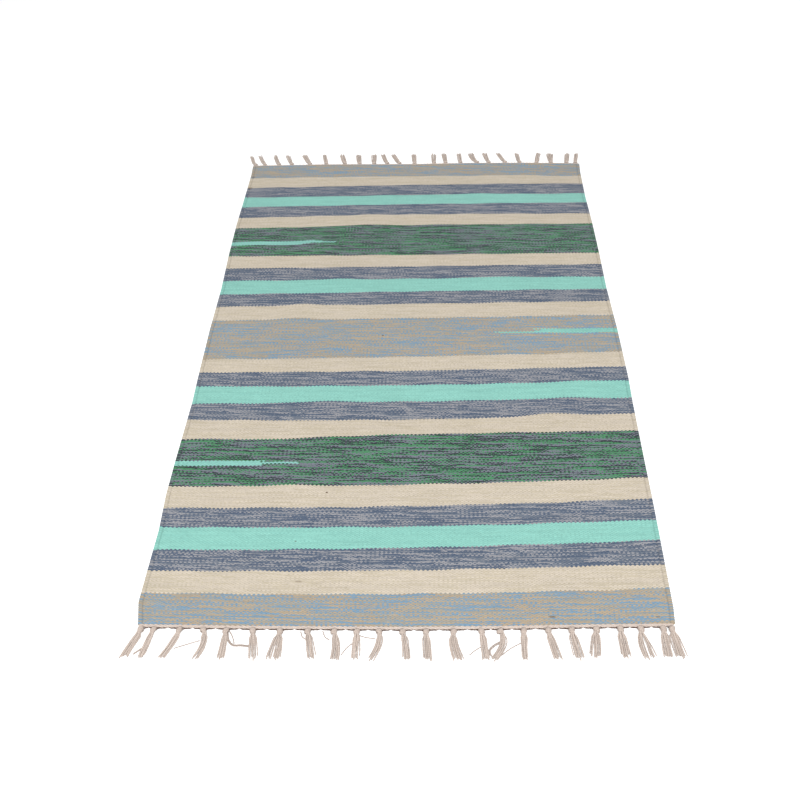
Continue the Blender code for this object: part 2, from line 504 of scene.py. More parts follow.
def new_group(name, inputs, outputs):
    """An empty node group with named float or vector sockets, and its input and output nodes."""
    tree = bpy.data.node_groups.new(name, "ShaderNodeTree")
    for socket, kind in inputs:
        tree.interface.new_socket(socket, in_out="INPUT", socket_type=kind)
    for socket, kind in outputs:
        tree.interface.new_socket(socket, in_out="OUTPUT", socket_type=kind)
    wiring = Wiring(tree)
    return wiring, wiring.add("NodeGroupInput"), wiring.add("NodeGroupOutput")


def cotton_fibre():
    """The group for fine cotton fibre, which gives a shade near 1 and a height in metres."""
    if "Cotton Fibre" in bpy.data.node_groups:
        return bpy.data.node_groups["Cotton Fibre"]
    w, given, result = new_group(
        "Cotton Fibre",
        [("Place", "NodeSocketVector"), ("Contrast", "NodeSocketFloat"), ("Depth", "NodeSocketFloat")],
        [("Shade", "NodeSocketFloat"), ("Height", "NodeSocketFloat")],
    )
    grain = w.math("SUBTRACT", w.noise(given.outputs["Place"], 2600, 3), 0.5)
    cloud = w.math("SUBTRACT", w.noise(given.outputs["Place"], 420, 2), 0.5)
    both = w.math("ADD", grain, cloud)
    w.feed(result.inputs["Shade"], w.math("MULTIPLY_ADD", both, given.outputs["Contrast"], 1.0))
    w.feed(result.inputs["Height"], w.math("MULTIPLY", grain, given.outputs["Depth"]))
    return w.tree


def plied_twist():
    """The group for the grooves between a yarn's plies: 1 deep in a groove and 0 on a ply."""
    if "Plied Twist" in bpy.data.node_groups:
        return bpy.data.node_groups["Plied Twist"]
    w, given, result = new_group(
        "Plied Twist",
        [("Yarn", "NodeSocketVector"), ("Plies", "NodeSocketFloat"), ("Pitch", "NodeSocketFloat")],
        [("Groove", "NodeSocketFloat")],
    )
    parts = w.split(given.outputs["Yarn"])
    around = w.math("ARCTAN2", parts["Y"], parts["X"])
    turned = w.math("MULTIPLY", w.math("DIVIDE", parts["Z"], given.outputs["Pitch"]), 2 * math.pi)
    phase = w.math("MULTIPLY", w.math("SUBTRACT", around, turned), given.outputs["Plies"])
    hollow = w.scaled(w.math("COSINE", phase), -0.5, 0.5)
    w.feed(result.inputs["Groove"], w.math("POWER", hollow, 3.0))
    return w.tree


def new_material(name):
    """A material with only its output, and its wiring."""
    material = bpy.data.materials.new(name)
    material.use_nodes = True
    material.node_tree.nodes.clear()
    return material, Wiring(material.node_tree)


def finish_cotton(w, colour, roughness, height, normal_strength=1.0):
    """Joins a colour, a roughness and a height in metres to a matt cotton shader."""
    bump = w.add("ShaderNodeBump", {"Height": height, "Strength": normal_strength, "Distance": 1.0})
    shader = w.add(
        "ShaderNodeBsdfPrincipled",
        {
            "Base Color": colour,
            "Roughness": roughness,
            "Normal": bump.outputs["Normal"],
            "Specular IOR Level": 0.25,
            "Sheen Weight": 0.08,
            "Sheen Roughness": 0.5,
        },
    )
    output = w.add("ShaderNodeOutputMaterial")
    w.feed(output.inputs["Surface"], shader.outputs["BSDF"])


def yarn_number(w, pick, band_starts):
    """The number in YARNS of the yarn at each pick: it changes by the difference at each band's first pick.

    Comparisons give exact edges, where one ramp over the whole rug would round them to a 256th of its length.
    """
    number = float(YARNS.index(BANDS[0].yarn))
    for before, band, start in zip(BANDS, BANDS[1:], band_starts[1:]):
        change = YARNS.index(band.yarn) - YARNS.index(before.yarn)
        if change:
            reached = w.math("GREATER_THAN", pick, start + 0.5)
            number = w.math("MULTIPLY_ADD", reached, float(change), number)
    return number


def wedge_mask(w, wedge, column, pick, band_starts, columns, spacing):
    """1 inside one mint wedge: each of its picks reaches a length of its own from the selvedge."""
    start = band_starts[wedge.band + 1]
    longest = max(wedge.reaches) * MM / spacing
    places = len(wedge.reaches) + 2
    stops = [(0.0, (0.0, 0.0, 0.0))]
    for i, reach in enumerate(wedge.reaches):
        share = reach / max(wedge.reaches)
        stops.append(((i + 1) / places, (share, share, share)))
    stops.append(((places - 1) / places, (0.0, 0.0, 0.0)))
    local = w.scaled(pick, 1 / places, (0.5 - start) / places)
    reach = w.math("MULTIPLY", w.split(w.steps(local, stops))["X"], longest)
    from_side = w.math("ADD", column, 0.5)
    if wedge.side == "right":
        from_side = w.math("SUBTRACT", float(columns), from_side)
    from_side = w.math("MAXIMUM", from_side, 0.0)  # the outermost beads hang over the edge a little
    return w.math("LESS_THAN", from_side, reach)


BEAD_SLANT = 1.4  # how steep a bead's pointed ends are: 1 makes diamonds, and more makes blunter ends


def weft_beads(w, warp, weft):
    """Splits the weave's coordinates into beads: six-sided, pointed where the weft dives under the next warp.

    Gives each bead's column and pick, and the place within it, in warp yarns across and in picks along.
    """
    column = w.math("FLOOR", warp)
    odd = w.math("FLOORED_MODULO", column, 2.0)
    doubled = w.math("MULTIPLY", w.math("ADD", weft, odd), 0.5)
    row = w.math("FLOOR", doubled)
    pick = w.math("SUBTRACT", w.scaled(row, 2.0, 1.0), odd)
    across = w.math("SUBTRACT", w.math("SUBTRACT", warp, column), 0.5)
    along = w.scaled(w.math("SUBTRACT", doubled, row), 2.0, -1.0)
    slant = w.math("MULTIPLY_ADD", w.math("ABSOLUTE", across), BEAD_SLANT, w.math("ABSOLUTE", along))
    outside = w.math("GREATER_THAN", slant, (1 + BEAD_SLANT) / 2)
    step_across = w.math("MULTIPLY", outside, w.math("SIGN", across))
    step_along = w.math("MULTIPLY", outside, w.math("SIGN", along))
    return (
        w.math("ADD", column, step_across),
        w.math("ADD", pick, step_along),
        w.math("SUBTRACT", across, step_across),
        w.math("SUBTRACT", along, step_along),
    )


def banded_cotton(cloth, band_starts, columns):
    """The field's material: beads of plied cotton in bands, with the wedges and flecks, and painted shade in
    the bead hollows and selvedge grooves.
    """
    material, w = new_material("Banded Cotton")
    weave = w.add("ShaderNodeAttribute", attribute_name="weave").outputs["Vector"]
    place = w.add("ShaderNodeTexCoord").outputs["Object"]
    parts = w.split(weave)
    column, pick, across, along = weft_beads(w, parts["X"], parts["Y"])
    number = yarn_number(w, pick, band_starts)
    share = w.scaled(number, 1 / len(YARNS), 0.5 / len(YARNS))

    plies = {
        "cream": (cloth.cream, cloth.cream_shade, cloth.cream),
        "mint": (cloth.mint, cloth.mint_shade, cloth.mint),
        "navy": (cloth.navy, cloth.lilac, cloth.navy_mid),
        "green": (cloth.green, cloth.charcoal, cloth.steel),
        "slate": (cloth.sky, cloth.tan, cloth.slate_mid),
    }
    colours = []
    for i in range(3):
        stops = [(k / len(YARNS), tuple(plies[yarn][i])) for k, yarn in enumerate(YARNS)]
        colours.append(w.steps(share, stops))

    # Which strand shows: the strands of a weft lie nearly side by side and turn slowly round each other
    pick_random = w.random(w.vector(pick, 3.7, 1.3))
    warp = parts["X"]
    bead_random = w.random(w.vector(column, pick, 9.1))
    wander = w.noise(w.vector(w.math("MULTIPLY", warp, 0.05), w.math("MULTIPLY", pick, 7.31)), 1.0, 2)
    jitter = w.noise(w.vector(w.math("MULTIPLY", warp, 0.3), w.math("MULTIPLY", pick, 3.17)), 1.0, 1)
    phase = w.joined(
        "ADD",
        w.scaled(warp, cloth.strand_turns, pick_random),
        w.scaled(wander, 2.0),
        w.scaled(jitter, 0.6),
        w.scaled(bead_random, 0.15),
        w.scaled(along, 0.28),
    )
    turn = w.math("FRACT", phase)
    streak = w.noise(w.vector(w.math("MULTIPLY", warp, 0.05), w.math("MULTIPLY", pick, 1.4), 5.0), 1.0, 2)
    first_end = w.scaled(streak, 1.3, -0.3)
    second = w.math("GREATER_THAN", turn, first_end)
    third = w.math("GREATER_THAN", turn, w.math("ADD", first_end, 0.33))
    colour = w.mix(third, w.mix(second, colours[0], colours[1]), colours[2])

    # The mint wedges
    in_wedge = 0.0
    for wedge in WEDGES:
        mask = wedge_mask(w, wedge, column, pick, band_starts, columns, cloth.warp_spacing)
        in_wedge = w.math("MAXIMUM", in_wedge, mask)
    wedge_colour = w.mix(second, (*cloth.mint, 1.0), (*cloth.mint_shade, 1.0))
    colour = w.mix(in_wedge, colour, wedge_colour)

    # Uneven dye and uneven yarn
    fibre = w.add("ShaderNodeGroup", {}, node_tree=cotton_fibre())
    for name, value in (("Place", place), ("Contrast", 0.25), ("Depth", 0.05 * MM)):
        w.feed(fibre.inputs[name], value)
    tone = w.joined(
        "MULTIPLY",
        w.scaled(pick_random, 0.06, 0.97),
        w.scaled(bead_random, 0.06, 0.97),
        w.scaled(streak, 0.3, 0.85),
        w.scaled(w.noise(place, 9.0, 3), 0.10, 0.95),
        fibre.outputs["Shade"],
    )

    # Painted shade in the hollows round each bead, with a slight painted highlight on its crown, and painted
    # shade in the groove inside each selvedge
    round_across = w.math("COSINE", w.math("MULTIPLY", across, math.pi / 2))
    round_along = w.math("SQRT", w.math("SUBTRACT", 1.0, w.math("MULTIPLY", along, along)))
    bead = w.math("MULTIPLY", w.math("POWER", round_across, 0.7), round_along)
    tone = w.math("MULTIPLY", tone, w.smooth(bead, 0.2, 0.9, 0.82, 1.04))
    from_groove = w.math("ABSOLUTE", w.math("SUBTRACT", parts["Z"], cloth.selvedge_width))
    in_groove = w.smooth(from_groove, 0.0, 1.4 * MM, 1.0, 0.0)
    painted_groove_shade = w.math("MULTIPLY", in_groove, w.scaled(bead, -0.6, 1.2))
    tone = w.math("MULTIPLY", tone, w.scaled(painted_groove_shade, -0.27, 1.0))
    colour = w.shade(colour, tone)

    dark = 0.0
    for fleck in FLECKS:
        middle = (fleck.across * MM, fleck.along * MM, CLOTH_THICKNESS)
        offset = w.vector_math("SUBTRACT", place, middle)["Vector"]
        shrink = (1 / (fleck.wide * MM), 1 / (fleck.tall * MM), 0.0)
        shrunk = w.vector_math("MULTIPLY", offset, shrink)["Vector"]
        far = w.vector_math("LENGTH", shrunk)["Value"]
        dark = w.math("MAXIMUM", dark, w.smooth(far, 0.6, 1.1, fleck.depth, 0.0))
    colour = w.mix(dark, colour, (*linear(*FLECK_COLOUR), 1.0))

    ply_line = w.math("COSINE", w.math("MULTIPLY", phase, 6 * math.pi))
    height = w.scaled(bead, cloth.rib_depth)
    height = w.math("ADD", height, w.scaled(ply_line, 0.03 * MM))
    height = w.math("ADD", height, fibre.outputs["Height"])
    roughness = w.scaled(bead_random, 0.1, 0.84)
    finish_cotton(w, colour, roughness, height)
    return material


def plied_cotton(name, yarn, plies, pitch):
    """The material of the cords and tassels: undyed plied cotton, with painted shade where it lies deep and
    between its plies.
    """
    material, w = new_material(name)
    place = w.add("ShaderNodeTexCoord").outputs["Object"]
    way = w.add("ShaderNodeAttribute", attribute_name="yarn").outputs["Vector"]
    strand = w.split(w.add("ShaderNodeAttribute", attribute_name="strand").outputs["Vector"])
    twist = w.add("ShaderNodeGroup", {}, node_tree=plied_twist())
    for socket, value in (("Yarn", way), ("Plies", plies), ("Pitch", pitch)):
        w.feed(twist.inputs[socket], value)
    fibre = w.add("ShaderNodeGroup", {}, node_tree=cotton_fibre())
    for socket, value in (("Place", place), ("Contrast", 0.3), ("Depth", 0.06 * MM)):
        w.feed(fibre.inputs[socket], value)
    # Painted shade: the first strand value mixes the lit cotton toward the painted shade colour.
    colour = w.mix(strand["X"], (*yarn.cotton_painted_shade, 1.0), (*yarn.cotton, 1.0))
    tone = w.scaled(strand["Y"], 0.12, 0.93)
    # Painted shade in the grooves between the plies.
    tone = w.math("MULTIPLY", tone, w.scaled(twist.outputs["Groove"], -0.28, 1.0))
    tone = w.math("MULTIPLY", tone, fibre.outputs["Shade"])
    colour = w.shade(colour, tone)
    height = w.math("ADD", w.scaled(twist.outputs["Groove"], -0.12 * MM), fibre.outputs["Height"])
    roughness = w.scaled(strand["Y"], 0.08, 0.86)
    finish_cotton(w, colour, roughness, height)
    return material


# The outline and the weave's lines


def side_at(y, column):
    """The left or right selvedge's x at places along the rug."""
    return MM * np.interp(np.asarray(y) / MM, [s.along for s in SIDES], [getattr(s, column) for s in SIDES])


def end_at(x, column):
    """The near or far woven edge's y at places across the rug."""
    return MM * np.interp(np.asarray(x) / MM, [e.across for e in ENDS], [getattr(e, column) for e in ENDS])


def cloth_height(x, y):
    """The cloth's thickness at a place: slow swells that run askew to the warp and the weft."""
    rising = np.sin(2 * math.pi * (x / SWELL_ACROSS + y / SWELL_ALONG))
    falling = np.sin(2 * math.pi * (y / SWELL_ALONG - x / (2 * SWELL_ACROSS)))
    return CLOTH_THICKNESS + CLOTH_SWELL * (rising + falling) / 2


WAVERS = ((0.45, 82, 0.37), (0.35, 131, 0.61))  # rise and length in mm, and the shift from band to band


def band_edge(index, x):
    """The y of a band's far edge at places across: an even curve, its lifts and a slight waver."""
    if index < 0:
        return end_at(x, "near")
    if index == len(BANDS) - 1:
        return end_at(x, "far")
    band = BANDS[index]
    share = x / BAND_STATION
    slope = (band.right - band.left) / 2
    curve = (band.right + band.left) / 2 - band.middle
    y = band.middle + slope * share + curve * share**2
    for lift in LIFTS:
        if lift.band == index:
            y = y + lift.rise * np.exp(-0.7 * ((x / MM - lift.across) / lift.reach) ** 2)
    waver = 0.0
    for rise, wavelength, shift in WAVERS:
        waver = waver + rise * np.sin(2 * math.pi * (x / (wavelength * MM) + shift * index))
    return MM * (y + waver)


def count_picks(pitch):
    """The pick at which each band starts, from the near end, and the number of all picks last."""
    starts = [0]
    across = np.linspace(-BAND_STATION, BAND_STATION, 30)
    for i in range(len(BANDS)):
        height = np.mean(band_edge(i, across) - band_edge(i - 1, across))
        starts.append(starts[-1] + max(1, round(float(height) / pitch)))
    return starts


def pick_line(pick, starts, x):
    """The y of a pick at places across the rug."""
    band = min(int(np.searchsorted(starts, pick, side="right")) - 1, len(BANDS) - 1)
    share = (pick - starts[band]) / (starts[band + 1] - starts[band])
    low = band_edge(band - 1, x)
    return low + (band_edge(band, x) - low) * share


# The cloth


class EdgeRing(NamedTuple):
    """One line of a rounded edge: how far in it lies, and its top and underside as shares of the thickness."""

    inset: float
    top: float
    under: float


SELVEDGE_RINGS = [  # insets in millimetres
    EdgeRing(0.0, 0.50, 0.50),
    EdgeRing(0.4, 0.86, 0.16),
    EdgeRing(1.3, 1.03, 0.0),
    EdgeRing(2.6, 1.08, 0.0),
    EdgeRing(4.0, 1.00, 0.0),
    EdgeRing(5.2, 0.74, 0.10),
    EdgeRing(6.4, 0.96, 0.0),
    EdgeRing(8.0, 1.00, 0.0),
]
END_RINGS = [EdgeRing(0.0, 0.6, 0.4), EdgeRing(0.15, 0.94, 0.06), EdgeRing(0.45, 1.0, 0.0)]  # insets in picks
FIELD_COLUMNS = 40
SELVEDGE_SCALLOP = 0.25 * MM


def cloth_lines(starts):
    """The picks at which the cloth's rows lie, with the rounded ends' rows at both ends."""
    total = starts[-1]
    rounding = [ring.inset for ring in END_RINGS]
    return rounding + list(range(1, total)) + [total - inset for inset in reversed(rounding)]


def weave_field(cloth):
    """The woven field as one closed sheet, with its weave's coordinates in the attribute weave."""
    starts = count_picks(cloth.pick_pitch)
    rows = cloth_lines(starts)
    rings = SELVEDGE_RINGS
    half = len(rings)
    inner = FIELD_COLUMNS - 1
    count = 2 * half + inner
    inner_warps = round((NOMINAL_HALF_WIDTH * 2 - 2 * cloth.selvedge_width) / cloth.warp_spacing)
    warps = inner_warps + 2
    share = np.concatenate([np.zeros(half), np.arange(1, FIELD_COLUMNS) / FIELD_COLUMNS, np.ones(half)])
    left_inset = MM * np.array([ring.inset for ring in rings])
    inset = np.concatenate([left_inset, np.full(inner, left_inset[-1]), left_inset[::-1]])
    from_left = np.arange(count) < half + inner / 2
    ring_tops = [ring.top for ring in rings]
    ring_unders = [ring.under for ring in rings]
    top_share = np.concatenate([ring_tops, np.ones(inner), ring_tops[::-1]])
    under_share = np.concatenate([ring_unders, np.zeros(inner), ring_unders[::-1]])

    tops, unders, marks = [], [], []
    for pick in rows:
        rough_x = np.linspace(-1, 1, count) * NOMINAL_HALF_WIDTH
        for _ in range(2):
            y = pick_line(pick, starts, rough_x)
            left, right = side_at(y, "left"), side_at(y, "right")
            x_left, x_right = left + inset, right - inset
            between = x_left + (x_right - x_left) * share
            rough_x = np.where(share == 0, x_left, np.where(share == 1, x_right, between))
        x = rough_x.copy()
        ends = min(pick, starts[-1] - pick)
        end_top = np.interp(ends, [r.inset for r in END_RINGS], [r.top for r in END_RINGS])
        end_under = np.interp(ends, [r.inset for r in END_RINGS], [r.under for r in END_RINGS])
        height = cloth_height(x, y)
        beat = 1 if int(round(pick)) % 2 else -1
        ripple = np.where(np.minimum(np.arange(count), count - 1 - np.arange(count)) < half - 3, beat, 0)
        x[: 2] += -beat * SELVEDGE_SCALLOP * np.array([1.0, 0.8])
        x[-2:] += beat * SELVEDGE_SCALLOP * np.array([0.8, 1.0])
        top = height * np.minimum(top_share, end_top) + ripple * 0.1 * MM * (end_top > 0.9)
        under = height * np.maximum(under_share, end_under)
        tops.append(np.column_stack([x, y, top]))
        unders.append(np.column_stack([x, y, under]))
        width = right - left
        edge = np.where(from_left, x - left, right - x)
        inner_unit = 1 + (x - left - cloth.selvedge_width) / (width - 2 * cloth.selvedge_width) * inner_warps
        outer_unit = np.where(from_left, edge / cloth.selvedge_width, warps - edge / cloth.selvedge_width)
        unit = np.where(edge < cloth.selvedge_width - 1e-7, outer_unit, inner_unit)
        marks.append(np.column_stack([unit, np.full(count, float(pick)), edge]))

    top_ids = np.arange(len(rows) * count).reshape(len(rows), count)
    under_ids = top_ids.copy()
    inside = (len(rows) - 2, count - 2)
    under_ids[1:-1, 1:-1] = len(rows) * count + np.arange(math.prod(inside)).reshape(inside)
    points = np.concatenate([np.concatenate(tops), np.array(unders)[1:-1, 1:-1].reshape(-1, 3)])
    weave = np.concatenate([np.concatenate(marks), np.array(marks)[1:-1, 1:-1].reshape(-1, 3)])
    faces = sheet_faces(top_ids) + [face[::-1] for face in sheet_faces(under_ids)]
    return points, faces, weave, starts, warps


def quads(ids):
    """The quads of a grid of point numbers."""
    return np.stack([ids[:-1, :-1], ids[:-1, 1:], ids[1:, 1:], ids[1:, :-1]], axis=-1).reshape(-1, 4)


def sheet_faces(ids):
    """A grid's quads, each corner's split from its corner inwards, so that top and underside differ there."""
    faces = quads(ids).tolist()
    across = ids.shape[1] - 1
    corners = {len(faces) - 1: 2, len(faces) - across: 3, across - 1: 1, 0: 0}
    for place, turn in corners.items():
        quad = faces.pop(place)
        quad = quad[turn:] + quad[:turn]
        faces += [[quad[0], quad[1], quad[2]], [quad[0], quad[2], quad[3]]]
    return faces


def new_piece(name, points, faces, attributes, material):
    """A piece at the origin from its points and faces, smooth, with its attributes at the points."""
    mesh = bpy.data.meshes.new(name)
    mesh.from_pydata(points.tolist(), [], [list(face) for face in faces])
    for attribute, values in attributes.items():
        layer = mesh.attributes.new(attribute, "FLOAT_VECTOR", "POINT")
        layer.data.foreach_set("vector", np.asarray(values, np.float32).ravel())
    mesh.validate()
    mesh.shade_smooth()
    mesh.materials.append(material)
    piece = bpy.data.objects.new(name, mesh)
    bpy.context.scene.collection.objects.link(piece)
    return piece


# Yarns


class YarnMesh:
    """Gathers tubes of yarn, with the attributes that the plied cotton follows."""

    def __init__(self):
        self.points, self.faces, self.yarn, self.strand = [], [], [], []
        self.count = 0

    def add(
        self, path, radius, tone=1.0, chance=0.5, sides=8, lobes=2, depth=0.14, pitch=8 * MM, across=(0, 0, 1)
    ):
        """Adds one yarn along a path, with lobes for its plies."""
        path = np.asarray(path, float)
        radius = np.broadcast_to(radius, len(path))
        step = np.linalg.norm(np.diff(path, axis=0), axis=1)
        along = np.concatenate([[0.0], np.cumsum(step)])
        ahead = np.gradient(path, axis=0)
        ahead /= np.linalg.norm(ahead, axis=1, keepdims=True)
        right = np.cross(ahead, across)
        right /= np.linalg.norm(right, axis=1, keepdims=True)
        up = np.cross(right, ahead)
        angle = np.arange(sides) * 2 * math.pi / sides
        turned = angle[None, :] - 2 * math.pi * along[:, None] / pitch
        reach = radius[:, None] * (1 + depth * np.cos(lobes * turned))
        rightward = np.cos(angle)[None, :, None] * right[:, None, :]
        upward = np.sin(angle)[None, :, None] * up[:, None, :]
        points = path[:, None, :] + reach[..., None] * (rightward + upward)
        ids = self.count + np.arange(points.shape[0] * sides).reshape(-1, sides)
        looped = np.concatenate([ids, ids[:, :1]], axis=1)
        self.faces += quads(looped)[:, ::-1].tolist()
        self.faces += [ids[0].tolist(), ids[-1][::-1].tolist()]
        self.points.append(points.reshape(-1, 3))
        marks = np.empty((len(path), sides, 3))
        marks[..., 0], marks[..., 1] = np.cos(angle), np.sin(angle)
        marks[..., 2] = along[:, None]
        self.yarn.append(marks.reshape(-1, 3))
        # The first strand value is the share of the lit cotton: below 1 the yarn is mixed toward the painted
        # shade colour.
        lit_shares = np.broadcast_to(np.asarray(tone, float), len(path))
        strand = np.empty((len(path), sides, 3))
        strand[..., 0] = lit_shares[:, None]
        strand[..., 1], strand[..., 2] = chance, 0.0
        self.strand.append(strand.reshape(-1, 3))
        self.count += len(path) * sides

    def piece(self, name, material):
        """The gathered yarns as one piece."""
        attributes = {"yarn": np.concatenate(self.yarn), "strand": np.concatenate(self.strand)}
        points = np.concatenate(self.points)
        points[:, 2] = np.maximum(points[:, 2], 0.0)  # the lowest yarns lie flattened on the floor
        return new_piece(name, points, self.faces, attributes, material)


def smooth_step(value):
    """An even rise from 0 to 1."""
    value = np.clip(value, 0, 1)
    return value * value * (3 - 2 * value)


def rounded_path(corners, steps):
    """A smooth path through corner points."""
    corners = np.asarray(corners, float)
    knots = np.concatenate([[0.0], np.cumsum(np.linalg.norm(np.diff(corners, axis=0), axis=1))])
    ahead = np.gradient(corners, knots, axis=0)
    places = np.linspace(0, knots[-1], steps)
    index = np.clip(np.searchsorted(knots, places, side="right") - 1, 0, len(knots) - 2)
    span = (knots[index + 1] - knots[index])[:, None]
    t = ((places - knots[index])[:, None]) / span
    start, end = corners[index], corners[index + 1]
    leave, arrive = ahead[index] * span, ahead[index + 1] * span
    return (
        (2 * t**3 - 3 * t**2 + 1) * start
        + (t**3 - 2 * t**2 + t) * leave
        + (3 * t**2 - 2 * t**3) * end
        + (t**3 - t**2) * arrive
    )


def outward(end):
    """Which way along Y an end looks."""
    return -1 if end == "near" else 1


CORD_STRANDS = 3
CORD_STRAND_RADIUS = 1.02 * MM
CORD_PLY_PITCH = 9 * MM
CORD_TUCK = 1.0 * MM  # how far the cord sits in over the end of the cloth


def heading_cord(end, settings, material):
    """One end's heading: strands of cotton twined round each other over the last weft."""
    yarn = YarnMesh()
    middle = HEADING_DIAMETER / 2
    y_edge = end_at(0, end)
    x = np.linspace(side_at(y_edge, "left") + 2 * MM, side_at(y_edge, "right") - 2 * MM, 520)
    y = end_at(x, end) + outward(end) * (middle - CORD_TUCK)
    swing = middle - CORD_STRAND_RADIUS
    wander = 0.35 * np.sin(x / (23 * MM)) + 0.3 * np.sin(x / (41 * MM) + 1.0)
    for strand in range(CORD_STRANDS):
        turn = 2 * math.pi * (x / settings.cord_pitch + strand / CORD_STRANDS) + wander
        path = np.column_stack([x, y + swing * np.cos(turn), middle + swing * np.sin(turn)])
        swell = CORD_STRAND_RADIUS * (1 + 0.06 * np.sin(x / (5.3 * MM) + 2.1 * strand))
        chance = 0.7 + 0.15 * strand
        yarn.add(path, swell, chance=chance, sides=10, lobes=3, depth=0.07, pitch=CORD_PLY_PITCH)
    return yarn.piece(f"heading_cord_{end}", material)


KNOT_OFFSET = 1.5 * MM  # from the heading cord to the middle of the knot
KNOT_HALF_WIDTH = 3.3 * MM
KNOT_HEIGHT = 2.45 * MM
KNOT_WRAPS = 4
WAIST_HALF_WIDTH = 3.1 * MM


def knot_middle(root_x, end):
    """The y of a knot's middle at a place across."""
    return float(end_at(root_x, end)) + outward(end) * (HEADING_DIAMETER + PIECE_GAP + KNOT_OFFSET)


def grow_strands(yarn, tassel, end, settings, rng):
    """The yarns of one tassel, from inside the knot to their cut tips."""
    way = outward(end)
    radius = settings.yarn_diameter / 2
    root_x = tassel.place * MM
    edge = float(end_at(root_x, end))
    start = HEADING_DIAMETER - CORD_TUCK - 0.6 * MM
    lower = max(6, round(tassel.spread * MM / (settings.yarn_diameter * 0.98)))
    strands = lower + settings.top_strands
    t = np.linspace(0, 1, 24)
    opened = 0.6 * smooth_step((t - 0.1) / 0.3) + 0.4 * smooth_step((t - 0.2) / 0.8)
    skirt = smooth_step((t - 0.14) / 0.2)
    for i in range(strands):
        is_lower = i < lower
        place = (i + 0.5) / lower if is_lower else (i - lower + 0.5) / settings.top_strands
        spoke = math.pi * (1 + place) if is_lower else math.pi * (1 - place)
        side = 2 * place - 1
        half = WAIST_HALF_WIDTH + (tassel.spread * MM / 2 - WAIST_HALF_WIDTH) * opened
        side_now = side * (1.0 if is_lower else 0.72) + rng.normal(0, 0.10) * opened
        parting = tassel.parting * MM * np.sign(side) * smooth_step((t - 0.2) / 0.5)
        drift = rng.normal(0, 0.35) * MM * np.sin(math.pi * t * rng.uniform(1, 2.2)) * skirt
        in_knot = 1.7 * MM * math.cos(spoke)
        x = in_knot * (1 - skirt) + side_now * half * skirt + drift + parting
        x += root_x + tassel.lean * MM * t + tassel.bow * MM * np.sin(math.pi * t)
        reach = FRINGE_REACH + rng.normal(-0.3, 1.3) * MM
        y = edge + way * (start + (reach - start) * t)
        z_knot = KNOT_HEIGHT + 1.4 * MM * math.sin(spoke)
        z_skirt = radius * (1.05 if is_lower else 2.7) + abs(rng.normal(0, 0.12)) * MM
        z = z_knot * (1 - skirt) + z_skirt * skirt
        tip = np.where(t > 0.96, 0.82, 1.0)
        thick = radius * rng.uniform(0.92, 1.08) * tip
        # Painted shade: the yarns are darker near the knot, and the lower layer is darker under the top
        # strands.
        tone = 1.0 - 0.17 * (1 - smooth_step(t / 0.3)) - (0.09 if is_lower else 0.0)
        yarn.add(
            np.column_stack([x, y, z]),
            thick,
            tone=tone,
            chance=rng.uniform(0, 1),
            depth=0.10,
            pitch=12 * MM,
        )


def tie_knot(yarn, tassel, end, settings, rng):
    """The overhand knot of one tassel: a band of yarns that lies askew round the tassel's root."""
    way = outward(end)
    radius = settings.yarn_diameter / 2
    root_x = tassel.place * MM
    middle = knot_middle(root_x, end)
    lean = tassel.lean * MM / FRINGE_REACH
    turn = np.linspace(-0.6 * math.pi, 1.45 * math.pi, 24)
    tilt = rng.choice([-1, 1]) * rng.uniform(0.7, 1.2) * MM
    for i in range(KNOT_WRAPS):
        shift = (i - (KNOT_WRAPS - 1) / 2) * 1.15 * MM
        bulge = 1 - 0.12 * abs(i - (KNOT_WRAPS - 1) / 2)
        x = root_x + lean * 3 * MM + KNOT_HALF_WIDTH * bulge * np.cos(turn)
        y = middle + way * shift + tilt * np.cos(turn + 0.5) + 0.25 * MM * np.sin(2 * turn + i)
        z = KNOT_HEIGHT + (KNOT_HEIGHT - radius) * bulge * np.sin(turn)
        # Painted light and shade: the wraps are lighter on the knot's upper half and darker on its lower half.
        yarn.add(
            np.column_stack([x, y, z]),
            radius * rng.uniform(0.95, 1.08),
            tone=0.66 + 0.31 * np.clip(np.sin(turn), 0, 1),
            chance=rng.uniform(0.2, 1),
            sides=7,
            pitch=settings.yarn_pitch,
            across=(0, 1, 0),
        )


GATHER_SHARES = (1.06, 0.8, 0.55, 0.3)  # where warp ends come out, as shares of the way to the next knot


def gather_ends(yarn, tassels, end, settings, rng):
    """The warp ends between the knots: they come out under the heading cord and run along it to their knot,
    coloured almost wholly with painted shade for the shadow under the cord.
    """
    way = outward(end)
    radius = settings.yarn_diameter / 2 * 0.85
    roots = [tassel.place * MM for tassel in tassels]
    between = [(left + right) / 2 for left, right in zip(roots, roots[1:])]
    y_edge = end_at(0, end)
    limits = [side_at(y_edge, "left") + 3 * MM, *between, side_at(y_edge, "right") - 3 * MM]
    outer = HEADING_DIAMETER - CORD_TUCK
    for i, root_x in enumerate(roots):
        knot = knot_middle(root_x, end)
        for limit in (limits[i], limits[i + 1]):
            for layer, share in enumerate(GATHER_SHARES):
                span = (limit - root_x) * share * rng.uniform(0.92, 1.0)
                if abs(span) < 4 * MM:
                    continue
                side = math.copysign(1, span)
                bend_x = root_x + span * 0.8
                turn_x = root_x + side * 3 * MM
                turn_y = float(end_at(turn_x, end)) + way * (outer + (0.3 + 0.3 * layer) * MM)
                corners = [
                    (root_x + span, float(end_at(root_x + span, end)) + way * 1.6 * MM, radius),
                    (bend_x, float(end_at(bend_x, end)) + way * outer, radius),
                    (turn_x, turn_y, radius * 1.3),
                    (root_x + side * 0.8 * MM, knot, KNOT_HEIGHT),
                ]
                # Painted shadow: the ends take the painted shade colour, lighter only where they rise into the
                # knot.
                yarn.add(
                    rounded_path(corners, 12),
                    radius,
                    tone=[0.05] * 9 + [0.2, 0.4, 0.55],
                    chance=rng.uniform(0, 0.6),
                    sides=6,
                    pitch=settings.yarn_pitch,
                )


FRINGE_SEEDS = {"near": 11, "far": 23}


